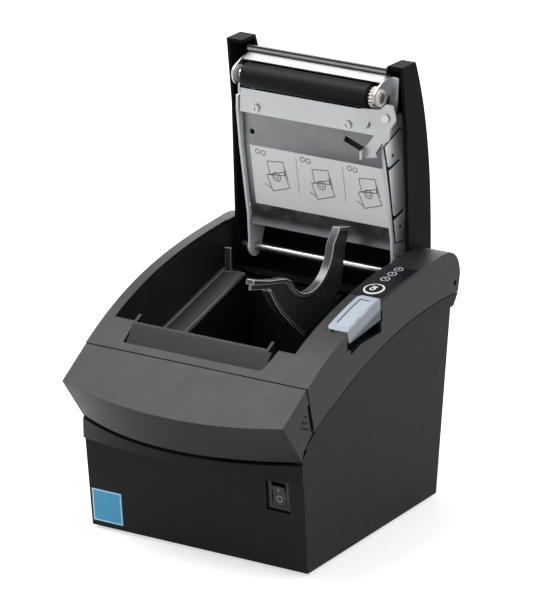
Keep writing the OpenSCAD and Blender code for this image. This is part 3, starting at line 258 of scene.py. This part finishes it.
def break_edges(piece, width_mm, steps=2, sharper_than=30, edge_slot=-1):
    """Rounds the edges of the active piece that turn by more than sharper_than degrees."""
    rounding = piece.modifiers.new("broken_edges", "BEVEL")
    rounding.width, rounding.segments = width_mm * MM, steps
    rounding.limit_method, rounding.angle_limit = "ANGLE", math.radians(sharper_than)
    rounding.material = edge_slot
    bpy.ops.object.modifier_apply(modifier=rounding.name)


def smooth(degrees=35):
    """Smooths the active piece where its faces turn by less than degrees."""
    bpy.ops.object.shade_smooth_by_angle(angle=math.radians(degrees))


def merged_copy(node, name, edge_mm=0.0, steps=2, smooth_deg=35, rim=False):
    """A solid's copy with its triangles merged, its edges broken and its curves smoothed.

    With rim the broken edges take the second material.
    """
    deselect()
    piece = nodes[node].copy()
    piece.data = nodes[node].data.copy()
    piece.name = piece.data.name = name
    bpy.context.collection.objects.link(piece)
    piece.parent = None
    bpy.context.view_layer.objects.active = piece
    piece.select_set(True)
    bpy.ops.object.mode_set(mode="EDIT")
    bpy.ops.mesh.select_all(action="SELECT")
    bpy.ops.mesh.remove_doubles(threshold=weld_mm * MM)
    bpy.ops.mesh.dissolve_limited(angle_limit=math.radians(flat_deg))
    bpy.ops.object.mode_set(mode="OBJECT")
    if rim:
        piece.data.materials.append(None)
    if edge_mm:
        break_edges(piece, edge_mm, steps, corner_deg, 1 if rim else -1)
    smooth(smooth_deg)
    flats = piece.modifiers.new("even_flats", "WEIGHTED_NORMAL")
    flats.mode, flats.weight, flats.keep_sharp = "FACE_AREA", 100, True
    bpy.ops.object.modifier_apply(modifier=flats.name)
    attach(piece, body_of[node])
    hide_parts(node)
    return piece


def moulded(name, colour, grain_mm=0.35, grain_depth=0.02, rough=0.5, sheen=0.5):
    """Spark-eroded plastic: a fine pebble grain, faint flow marks and a slightly uneven gloss."""
    s = Surface(name)
    pebbles = s.noise(grain_mm, detail=1.0)
    flow = s.noise(38, detail=3.0)
    rub = s.noise(9, detail=4.0, rough=0.6)
    darker, paler = (tuple(c * share for c in colour) for share in (0.86, 1.5))
    flowed = s.blend(flow, solid(darker), solid(colour))
    return s.finish(Base_Color=s.blend(pebbles * 0.4, flowed, solid(paler)),
                    Roughness=rough + (rub - 0.5) * 0.12 + (pebbles - 0.5) * 0.1,
                    Specular_IOR_Level=sheen, Normal=s.bump(pebbles + rub * 0.15, grain_depth))


base_charcoal = moulded("base_charcoal", (0.0095, 0.0095, 0.0102), grain_depth=0.03, sheen=0.1)
coat_with(merged_copy("lower_case", "lower_case_shell", edge_mm=0.7), base_charcoal)
foot_rubber = moulded("foot_rubber", (0.02, 0.02, 0.02), grain_mm=0.8, grain_depth=0.04,
                      rough=0.75, sheen=0.3)
coat_with(merged_copy("rubber_feet", "moulded_feet", edge_mm=0.5), foot_rubber)

# ---- top case -------------------------------------------------------------------------------
# The top case carries both rails and frames the opening. It is a charcoal moulding like the
# lower case, with a little more sheen, and is clipped down on it all round.
case_charcoal = moulded("case_charcoal", (0.0105, 0.0105, 0.0112), grain_depth=0.03,
                        rough=0.46, sheen=0.2)
coat_with(merged_copy("top_case", "top_case_shell", edge_mm=0.45), case_charcoal)

# ---- hood -----------------------------------------------------------------------------------
# The hood covers the cutter. It is a thin moulded cap whose sloping top runs to a bowed nose,
# and it slides forward off the case.
hood_shell = merged_copy("cutter_cover", "hood_shell", edge_mm=0.7, steps=3, smooth_deg=25)
coat_with(hood_shell, case_charcoal)

# ---- grip pips of the hood ------------------------------------------------------------------
# Six low round studs in a triangle stand beside the finger notch on each side of the hood.
# They are moulded on it in black and show where it is pulled.
hood_side_x = 72.1
pip_radius, pip_depth, pip_edge, pip_sides = 0.75, 0.5, 0.15, 16
pip_places = ((-66.6, 95.0), (-68.6, 92.0), (-65.8, 91.0),
              (-70.4, 89.6), (-67.6, 88.4), (-64.9, 87.2))


def stud(name, at, radius, depth, edge_mm, sides):
    """A round stud that points sideways, its place in millimetres."""
    deselect()
    bpy.ops.mesh.primitive_cylinder_add(
        vertices=sides, radius=radius * MM, depth=depth * MM, rotation=(0, math.pi / 2, 0),
        location=[c * MM for c in at])
    piece = bpy.context.object
    piece.name = piece.data.name = name
    bpy.ops.object.transform_apply(location=True, rotation=True, scale=True)
    break_edges(piece, edge_mm)
    return piece


def twin(piece, name, shift):
    """A copy with a mesh of its own, moved by shift in millimetres."""
    copied = piece.copy()
    copied.data = piece.data.copy()
    copied.name = copied.data.name = name
    bpy.context.collection.objects.link(copied)
    copied.data.transform(Matrix.Translation(Vector(shift) * MM))
    return copied


pip_black = moulded("pip_black", (0.003, 0.003, 0.003), grain_mm=0.4, grain_depth=0.005,
                    rough=0.6, sheen=0.1)
first_y, first_z = pip_places[0]
grip = stud("hood_grip_pips_right", (hood_side_x, first_y, first_z),
            pip_radius, pip_depth, pip_edge, pip_sides)
for y, z in pip_places[1:]:
    twin(grip, "pip", (0, y - first_y, z - first_z)).select_set(True)
bpy.ops.object.join()
left_grip = twin(grip, "hood_grip_pips_left", (-2 * hood_side_x, 0, 0))
for piece in (grip, left_grip):
    coat_with(piece, pip_black)
    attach(piece, "hood")

# ---- cover shell and lip --------------------------------------------------------------------
# The roll cover is a long curved lid, moulded in matt black plastic. A glossier black lip is
# fixed across its front end, and the fixed blade of the cutter lies along it.
cover_black = moulded("cover_black", (0.005, 0.005, 0.0053), rough=0.6, sheen=0.04)
coat_with(merged_copy("cover_shell", "cover_skin", edge_mm=0.5), cover_black)
lip_black = moulded("lip_black", (0.012, 0.012, 0.0125), grain_mm=0.5, grain_depth=0.01,
                    rough=0.4, sheen=0.2)
coat_with(merged_copy("cover_lip", "cover_lip_bar", edge_mm=0.3), lip_black)

# ---- paper bay, tray, paper guide and hinge bushes ------------------------------------------
# These inner mouldings are smooth black ABS, fixed inside the case. The broken edges of the guide
# and of the tray take a pale grey, a painted highlight.
bay_black = moulded("bay_black", (0.007, 0.007, 0.0075), grain_mm=0.9, grain_depth=0.01,
                    rough=0.42, sheen=0.14)
edge_highlight = moulded("edge_highlight", (0.34, 0.34, 0.345), grain_mm=0.6, grain_depth=0.006,
                        rough=0.3)
coat_with(merged_copy("paper_bucket", "paper_bucket_moulding", edge_mm=0.3), bay_black)
coat_with(merged_copy("paper_guide", "paper_guide_moulding", edge_mm=0.3, rim=True),
          bay_black, edge_highlight)
coat_with(merged_copy("hinge_bushes", "hinge_bushes_moulding", edge_mm=0.3), bay_black)
# painted light: the tray is the same black moulding, given a paler grey for the light that falls on
# it
tray_black_lit = moulded("tray_black_lit", (0.035, 0.034, 0.036), grain_mm=0.7, rough=0.45, sheen=0.3)
coat_with(merged_copy("side_tray", "side_tray_moulding", edge_mm=0.3, rim=True),
          tray_black_lit, edge_highlight)

# ---- partition ------------------------------------------------------------------------------
# The partition for narrow rolls is a loose wing, moulded in glossy black plastic with a
# hollow for the roll between its two arms. It drops into slots of the paper bay.
partition_black = moulded("partition_black", (0.028, 0.028, 0.0285), grain_mm=0.6,
                          grain_depth=0.01, rough=0.26)
# Its broken edges take the same pale grey, a painted highlight.
coat_with(merged_copy("partition", "partition_wing", edge_mm=0.4, rim=True),
          partition_black, edge_highlight)


# ---- sheet steel of the cover and the mechanism ---------------------------------------------
# Guide plate, brackets and frames are bent from galvanised sheet, with a faint spangle and a
# rolled grain. The lever and the blades are ground, and the frame of the cover is painted grey.
def sheet_metal(name, colour, rough=0.36, spangle=0.12):
    s = Surface(name)
    spangle_mm, roll_stretch = 5.5, 0.06
    flakes = s.node("ShaderNodeTexVoronoi", None,
                    {"Vector": s.place, "Scale": 1 / (spangle_mm * MM)}, out="Color")
    tone = s.node("ShaderNodeSeparateColor", None, {"Color": flakes}, out="Red")
    rolled = s.node("ShaderNodeMapping", None, {"Vector": s.place, "Scale": (roll_stretch, 1, 1)})
    lines = s.noise(0.25, detail=2.0, rough=0.6, place=rolled)
    stain = s.noise(22, detail=3.0)
    dark = tuple(c * 0.8 for c in colour)
    return s.finish(Base_Color=s.blend(tone * 0.35 + stain * 0.5, solid(dark), solid(colour)),
                    Metallic=1.0, Normal=s.bump(lines, 0.006),
                    Roughness=rough + (tone - 0.5) * spangle + (lines - 0.5) * 0.16)


# painted shade: the guide plate takes a darker copy of the galvanised sheet, for the shade it lies
# in
shaded_guide_steel = sheet_metal("guide_plate_sheet", (0.2, 0.2, 0.207), rough=0.4)
coat_with(merged_copy("guide_plate", "guide_plate_sheet", edge_mm=0.15), shaded_guide_steel)
galvanised = sheet_metal("galvanised_sheet", (0.48, 0.485, 0.49))
for node in ("mount_plate", "bracket_left", "bracket_right", "side_strip", "gear_plate",
             "mech_frame", "cutter_frame"):
    coat_with(merged_copy(node, node + "_sheet", edge_mm=0.15), galvanised)
ground_steel = sheet_metal("ground_steel", (0.45, 0.45, 0.455), spangle=0.03)
coat_with(merged_copy("latch_lever", "latch_lever_ground", edge_mm=0.15), ground_steel)
blade_steel = sheet_metal("blade_steel", (0.34, 0.34, 0.345), rough=0.58, spangle=0.03)
for node in ("fixed_blade", "moving_blade"):
    coat_with(merged_copy(node, node + "_ground", edge_mm=0.15), blade_steel)
frame_paint = moulded("frame_paint", (0.74, 0.745, 0.76), grain_mm=0.5, grain_depth=0.008,
                      rough=0.42, sheen=0.3)
coat_with(merged_copy("cover_frame", "cover_frame_painted", edge_mm=0.25), frame_paint)

# ---- side plate of the cover frame ----------------------------------------------------------
# The side plate is cut from painted sheet, with two slanted slots and a round hole by each;
# black discs on it are painted shade for the holes.
# A black sheet behind it is painted shade, which shows as a dark line round it and in its slots.
plate_x, plate_thick = 41.9, 0.5
gap_shade_x, gap_shade_thick = 41.55, 0.3
plate_front = ((66.7, 205.6), (69.6, 193.4), (71.2, 192.4), (82.6, 194.6), (82.9, 193.0),
               (70.8, 190.2), (75.4, 162.6), (76.8, 161.9), (87.0, 164.0), (87.2, 162.3),
               (75.9, 159.4), (78.2, 146.0))
plate_back = ((86.6, 144.6), (89.0, 170.0), (88.6, 190.0), (85.4, 209.6), (83.6, 211.2))
gap_shade_outline = ((65.7, 205.9), (68.7, 193.4), (74.5, 162.5), (77.4, 145.2), (87.4, 143.8),
               (89.8, 170.0), (89.5, 190.0), (86.3, 210.0), (83.7, 212.1))
sheet_edge_mm = 0.1
hole_shade_radius, hole_shade_depth, hole_shade_edge, hole_shade_sides = 1.0, 0.3, 0.08, 24
upper_hole, lower_hole = (74.6, 198.4), (82.0, 154.2)


def follow(name, points):
    """A chain of edges drawn through points in millimetres, left open in edit mode."""
    deselect()
    bpy.ops.mesh.primitive_plane_add(size=MM, location=[c * MM for c in points[0]])
    piece = bpy.context.object
    piece.name = piece.data.name = name
    bpy.ops.object.transform_apply(location=True, rotation=True, scale=True)
    bpy.ops.object.mode_set(mode="EDIT")
    bpy.ops.mesh.select_all(action="SELECT")
    bpy.ops.mesh.merge(type="CENTER")
    for here, there in zip(points, points[1:]):
        step = [(b - a) * MM for a, b in zip(here, there)]
        bpy.ops.mesh.extrude_region_move(TRANSFORM_OT_translate={"value": step})
    bpy.ops.mesh.select_all(action="SELECT")
    return piece


def cut_sheet(name, x, outline, thick):
    """Sheet cut to a closed outline of (y, z) points at x and thickened outwards."""
    piece = follow(name, [(x, y, z) for y, z in outline])
    bpy.ops.mesh.edge_face_add()
    bpy.ops.mesh.extrude_region_move(TRANSFORM_OT_translate={"value": (thick * MM, 0, 0)})
    bpy.ops.mesh.select_all(action="SELECT")
    bpy.ops.mesh.normals_make_consistent(inside=False)
    bpy.ops.object.mode_set(mode="OBJECT")
    break_edges(piece, sheet_edge_mm)
    smooth()
    return piece


side_plate = cut_sheet("frame_side_plate", plate_x, plate_front + plate_back, plate_thick)
coat_with(side_plate, frame_paint)
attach(side_plate, "cover")
# painted shade: a black sheet behind the side plate darkens the gap round it and its slots
gap_shade_sheet = cut_sheet("frame_side_gap_shade", gap_shade_x, gap_shade_outline, gap_shade_thick)
# painted shade: black discs on the side plate stand for the dark of its two round holes
first_hole_shade = stud("frame_side_hole_shade_1", (plate_x + plate_thick, *upper_hole),
                   hole_shade_radius, hole_shade_depth, hole_shade_edge, hole_shade_sides)
smooth()
second_hole_shade = twin(first_hole_shade, "frame_side_hole_shade_2",
                    (0, lower_hole[0] - upper_hole[0], lower_hole[1] - upper_hole[1]))
for piece in (gap_shade_sheet, first_hole_shade, second_hole_shade):
    coat_with(piece, bay_black)
    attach(piece, "cover")

# ---- wear strip of the lip ------------------------------------------------------------------
# A thin strip of ground steel is pressed on the inner face of the lip, beside the fixed blade.
# The paper slides over it on its way out, so that it doesn't wear the plastic.
strip_middle, strip_size = (-7.25, 74.55, 246.3), (91.5, 0.3, 1.5)
deselect()
bpy.ops.mesh.primitive_cube_add(size=MM, location=[c * MM for c in strip_middle],
                                scale=strip_size)
wear_strip = bpy.context.object
wear_strip.name = wear_strip.data.name = "lip_wear_strip"
bpy.ops.object.transform_apply(location=True, rotation=True, scale=True)
break_edges(wear_strip, sheet_edge_mm)
smooth()
coat_with(wear_strip, blade_steel)
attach(wear_strip, "cover")


# ---- shafts, screws, motors and heat sink ---------------------------------------------------
# Rods, rivet, screws and springs are turned or wound from bright plated steel. The pinion is
# cut from brass, the motors are drawn cans, and the heat sink is an alloy casting.
def plated(name, colour, rough):
    s = Surface(name)
    turn_stretch = 0.04
    around = s.node("ShaderNodeMapping", None,
                    {"Vector": s.place, "Scale": (1, turn_stretch, turn_stretch)})
    turning = s.noise(0.3, detail=2.0, place=around)
    dust = s.noise(3, detail=4.0)
    dark = tuple(c * 0.9 for c in colour)
    return s.finish(Base_Color=s.blend(dust, solid(dark), solid(colour)), Metallic=1.0,
                    Roughness=rough + (turning - 0.5) * 0.1 + (dust - 0.5) * 0.06,
                    Normal=s.bump(turning, 0.003))


bright_steel = plated("bright_steel", (0.5, 0.505, 0.51), rough=0.3)
for node in ("hinge_shaft", "platen_shaft", "cover_screws", "lever_rivet", "head_springs"):
    coat_with(merged_copy(node, node + "_turned", edge_mm=0.15), bright_steel)
brass = plated("machined_brass", (0.68, 0.5, 0.22), rough=0.25)
coat_with(merged_copy("motor_pinion", "motor_pinion_cut"), brass)
motor_can = plated("motor_can", (0.3, 0.3, 0.31), rough=0.35)
for node in ("feed_motor", "cutter_motor"):
    coat_with(merged_copy(node, node + "_can", edge_mm=0.4), motor_can)
heatsink_alloy = plated("heatsink_alloy", (0.5, 0.51, 0.52), rough=0.42)
coat_with(merged_copy("head_heatsink", "heatsink_casting", edge_mm=0.2), heatsink_alloy)

# ---- hinge spring ---------------------------------------------------------------------------
# The spring that lifts the cover is bright wire, wound in three turns and a quarter on the
# hinge rod, with one leg that bears on the side of the cover frame.
hinge_y, hinge_z = 82.0, 125.6
coil_start_x, coil_turns, coil_radius, coil_pitch = 43.6, 3.25, 4.0, 0.9
points_a_turn, wire_radius = 16, 0.5
leg_bends = ((74.5, 139.2), (69.5, 141.3), (61.2, 135.9))


def drawn_wire(name, points, radius):
    """Round wire bent through points."""
    piece = follow(name, points)
    bpy.ops.object.mode_set(mode="OBJECT")
    bpy.ops.object.convert(target="CURVE")
    piece = bpy.context.object
    piece.data.bevel_depth, piece.data.bevel_resolution = radius * MM, 3
    piece.data.use_fill_caps = True
    bpy.ops.object.convert(target="MESH")
    smooth(50)
    return bpy.context.object


coil = []
for step in range(int(points_a_turn * coil_turns)):
    wound = step / points_a_turn
    coil.append((coil_start_x + coil_pitch * wound,
                 hinge_y + coil_radius * math.cos(math.tau * wound),
                 hinge_z + coil_radius * math.sin(math.tau * wound)))
leg = [(coil[-1][0], y, z) for y, z in leg_bends]
hinge_spring = drawn_wire("hinge_spring_wire", coil + leg, wire_radius)
coat_with(hinge_spring, bright_steel)
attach(hinge_spring, "cover")

# ---- platen, gears and print head -----------------------------------------------------------
# The roller is ground rubber on its steel shaft. The gears and bearings are moulded in natural
# nylon, and the print head is a strip of glazed ceramic.
platen_rubber = moulded("platen_rubber", (0.007, 0.007, 0.007), grain_mm=0.3, grain_depth=0.01,
                        sheen=0.08)
coat_with(merged_copy("platen_roller", "platen_rubber_roller", edge_mm=0.4), platen_rubber)
nylon = moulded("natural_nylon", (0.66, 0.64, 0.58), grain_mm=0.5, grain_depth=0.006,
                rough=0.45, sheen=0.4)
for node in ("platen_bearings", "platen_gear", "idler_gear", "cutter_pinion"):
    coat_with(merged_copy(node, node + "_nylon"), nylon)
head_glaze = moulded("head_glaze", (0.62, 0.6, 0.52), grain_mm=0.3, grain_depth=0.003,
                     rough=0.2, sheen=0.6)
coat_with(merged_copy("print_head", "head_strip", edge_mm=0.1), head_glaze)

# ---- boards and sockets ---------------------------------------------------------------------
# Green laminate boards with black moulded parts are screwed down inside the case. Plated
# sockets on the interface card face out through the back.
solder_mask = moulded("solder_mask", (0.02, 0.12, 0.05), grain_mm=1.2, grain_depth=0.01,
                      rough=0.3)
for node in ("main_board", "interface_card"):
    coat_with(merged_copy(node, node + "_laminate", edge_mm=0.1), solder_mask)
coat_with(merged_copy("board_parts", "board_parts_moulded", edge_mm=0.2), bay_black)
socket_plating = plated("socket_plating", (0.6, 0.61, 0.62), rough=0.3)
coat_with(merged_copy("rear_ports", "rear_sockets", edge_mm=0.2), socket_plating)

# ---- panel, feed key and lamps --------------------------------------------------------------
# A black plastic strip is let into the right rail. It carries the paper feed key and three
# lamps, and its plain signs are printed on it: a ring round the key, with a paper roll in it,
# and a small ring with a stroke round each lamp.
key_middle, key_ring_radius, key_ring_line = (62.3, 21.2), 5.55, 1.0
roll_middle, roll_radius, roll_line = (61.7, 20.6), 1.35, 0.6
roll_web, roll_web_end, web_turn = (62.9, 22.4), (61.4, 23.3), -8
lamp_x, lamp_ring_radius, lamp_ring_line, stroke_half = 61.5, 2.45, 0.5, (0.25, 1.5)
lamp_strokes = {34.4: 50, 41.8: 20, 48.8: 0}
panel = Surface("panel_gloss")
across, back, up = panel.axes()
key_signs = panel.any_of([
    panel.ring(across, back, key_middle, key_ring_radius, key_ring_line),
    panel.ring(across, back, roll_middle, roll_radius, roll_line),
    panel.bar(across, back, roll_web, (0.3, 1.5), web_turn),
    panel.bar(across, back, roll_web_end, (1.3, 0.3), web_turn)])
lamp_signs = panel.any_of([
    *(panel.ring(across, back, (lamp_x, y), lamp_ring_radius, lamp_ring_line)
      for y in lamp_strokes),
    *(panel.bar(across, back, (lamp_x, y + 0.3), stroke_half, turn)
      for y, turn in lamp_strokes.items())])
haze = panel.noise(14, detail=4.0, rough=0.6)
black = panel.blend(haze, solid((0.003, 0.003, 0.0035)), solid((0.006, 0.006, 0.007)))
printed = panel.blend(lamp_signs, black, solid((0.4, 0.4, 0.41)))
panel_gloss = panel.finish(Base_Color=panel.blend(key_signs, printed, solid((0.72, 0.72, 0.73))),
                           Roughness=0.27 + haze * 0.1, Specular_IOR_Level=0.1)
coat_with(merged_copy("panel_insert", "panel_strip", edge_mm=0.2), panel_gloss)
coat_with(merged_copy("feed_button", "feed_key", edge_mm=0.15, steps=3), panel_gloss)
coat_with(merged_copy("led_lenses", "lamp_lenses", edge_mm=0.1), panel_gloss)

# ---- release key ----------------------------------------------------------------------------
# The key that unlocks the cover is a smoky blue moulding in the right rail. A fine groove is
# cut round two sides of its pad and painted dark as shade. Its flank carries painted light and
# shade: stripes for fine ribs, and a painted shadow that darkens it towards the foot.
groove_half_width = 0.45
long_groove, long_groove_half = (62.1, -5.0), 12.4
cross_groove, cross_groove_half = (64.8, 7.0), 3.1
pad_middle, pad_half = (66.4, -6.4), (3.9, 13.0)
flank_x = 71.2
ribs_per_radian, rib_slant = 8.0, 0.18
foot_z, foot_slant, foot_shadow_fade = 129.9, 0.272, 0.6
release = Surface("release_blue")
across, back, up = release.axes()
cloud = release.noise(7, detail=3.0)
# painted shade: the groove round the pad is coloured dark
groove_shade = release.any_of([
    release.bar(across, back, long_groove, (groove_half_width, long_groove_half)),
    release.bar(across, back, cross_groove, (cross_groove_half, groove_half_width))])
pad = release.bar(across, back, pad_middle, pad_half)
# painted light and shade: lighter and darker stripes stand for the fine ribs of the flank
rib_shading = release.maths("SINE", (up - back * rib_slant) * ribs_per_radian) * 0.5 + 0.5
# painted shadow: the flank darkens towards its foot
foot_shadow = (foot_z + back * foot_slant - up) * foot_shadow_fade + cloud * 0.3
top_tint_and_shade = release.blend(pad, solid((0.26, 0.29, 0.33)), solid((0.29, 0.325, 0.37)))
top_tint_and_shade = release.blend(groove_shade, top_tint_and_shade, solid((0.06, 0.09, 0.11)))
flank_tint_and_shade = release.blend(rib_shading, solid((0.17, 0.19, 0.23)), solid((0.27, 0.295, 0.34)))
flank_tint_and_shade = release.blend(foot_shadow, flank_tint_and_shade, solid((0.015, 0.022, 0.035)))
release_blue = release.finish(
    Base_Color=release.blend(across > flank_x, top_tint_and_shade, flank_tint_and_shade),
    Roughness=0.3 + cloud * 0.1, Specular_IOR_Level=0.4,
    Normal=release.bump(cloud * 0.3 + release.noise(0.5), 0.006))
coat_with(merged_copy("release_button", "release_key", edge_mm=0.5, steps=3), release_blue)

# ---- power switch ---------------------------------------------------------------------------
# The power switch is a rocker of satin black plastic that snaps into its own frame. A line and
# a ring are printed on it in grey for on and off.
rocker_x = 54.5
on_z, on_half = 49.0, (0.35, 1.3)
off_z, off_radius, off_line = 43.4, 1.7, 0.55
switch = Surface("switch_black")
across, back, up = switch.axes()
marks = switch.any_of([switch.bar(across, up, (rocker_x, on_z), on_half),
                       switch.ring(across, up, (rocker_x, off_z), off_radius, off_line)])
smear = switch.noise(4, detail=3.0)
satin = switch.blend(smear, solid((0.008, 0.008, 0.009)), solid((0.014, 0.014, 0.015)))
switch_black = switch.finish(
    Base_Color=switch.blend(marks, satin, solid((0.3, 0.3, 0.3))),
    Roughness=0.32 + smear * 0.12, Specular_IOR_Level=0.3,
    Normal=switch.bump(switch.noise(0.5), 0.008))
coat_with(merged_copy("switch_housing", "switch_frame", edge_mm=0.3), switch_black)
coat_with(merged_copy("power_rocker", "rocker_key", edge_mm=0.35, steps=3), switch_black)

# ---- front sticker --------------------------------------------------------------------------
# A square of blue printed film with a pale line round it is stuck on the front, low down at
# the left.
sticker_middle, keyline_half, keyline = (-60.1, 15.0), (9.3, 9.3), 0.6
film = Surface("sticker_blue")
across, back, up = film.axes()
blotch = film.noise(5, detail=3.0)
field = film.blend(blotch, solid((0.012, 0.27, 0.5)), solid((0.022, 0.33, 0.58)))
edging = film.box_line(across, up, sticker_middle, keyline_half, 0, keyline)
sticker_blue = film.finish(Base_Color=film.blend(edging, field, solid((0.62, 0.8, 0.88))),
                           Roughness=0.32 + blotch * 0.1, Coat_Weight=0.2,
                           Normal=film.bump(blotch, 0.01))
coat_with(merged_copy("front_sticker", "front_sticker_film"), sticker_blue)

# ---- paper loading label --------------------------------------------------------------------
# A white paper label is stuck on the guide plate inside the cover. Three panels, parted by thin
# lines, each show a line drawing of an open box with a roll in it, under two small rings.
panels_x = (-34.5, -4.5, 26.5)
parting_x, parting_z, parting_half = (11.5, -19.5), 176.5, (0.15, 11.0)
pen = 0.5
label = Surface("label_paper")
across, back, up = label.axes()
fibre = label.noise(0.6, detail=3.0)
drawing = [label.bar(across, up, (x, parting_z), parting_half) for x in parting_x]
for x in panels_x:
    roll = (x + 0.6, 173.2)
    drawing += [label.ring(across, up, (x - 10.5, 187.4), 1.4, pen),
                label.ring(across, up, (x - 6.8, 187.0), 1.4, pen),
                label.box_line(across, up, (x + 1.5, 170.5), (6.2, 5.0), 18, pen),
                label.box_line(across, up, (x + 1.0, 178.6), (5.4, 4.2), 6, pen),
                label.ring(across, up, roll, 2.6, 1.1 * pen),
                label.ring(across, up, roll, 1.2, pen),
                label.bar(across, up, (x - 5.5, 166.5), (2.6, pen / 2), -30),
                label.bar(across, up, (x + 7.4, 176.0), (pen / 2, 3.4), 12)]
sheet_white = label.blend(fibre, solid((0.9, 0.9, 0.9)), solid((0.94, 0.94, 0.945)))
inked = label.blend(label.any_of(drawing), sheet_white, solid((0.06, 0.06, 0.065)))
label_paper = label.finish(Base_Color=inked, Roughness=0.55 + fibre * 0.1,
                           Normal=label.bump(fibre, 0.01))
coat_with(merged_copy("instruction_label", "cover_label"), label_paper)
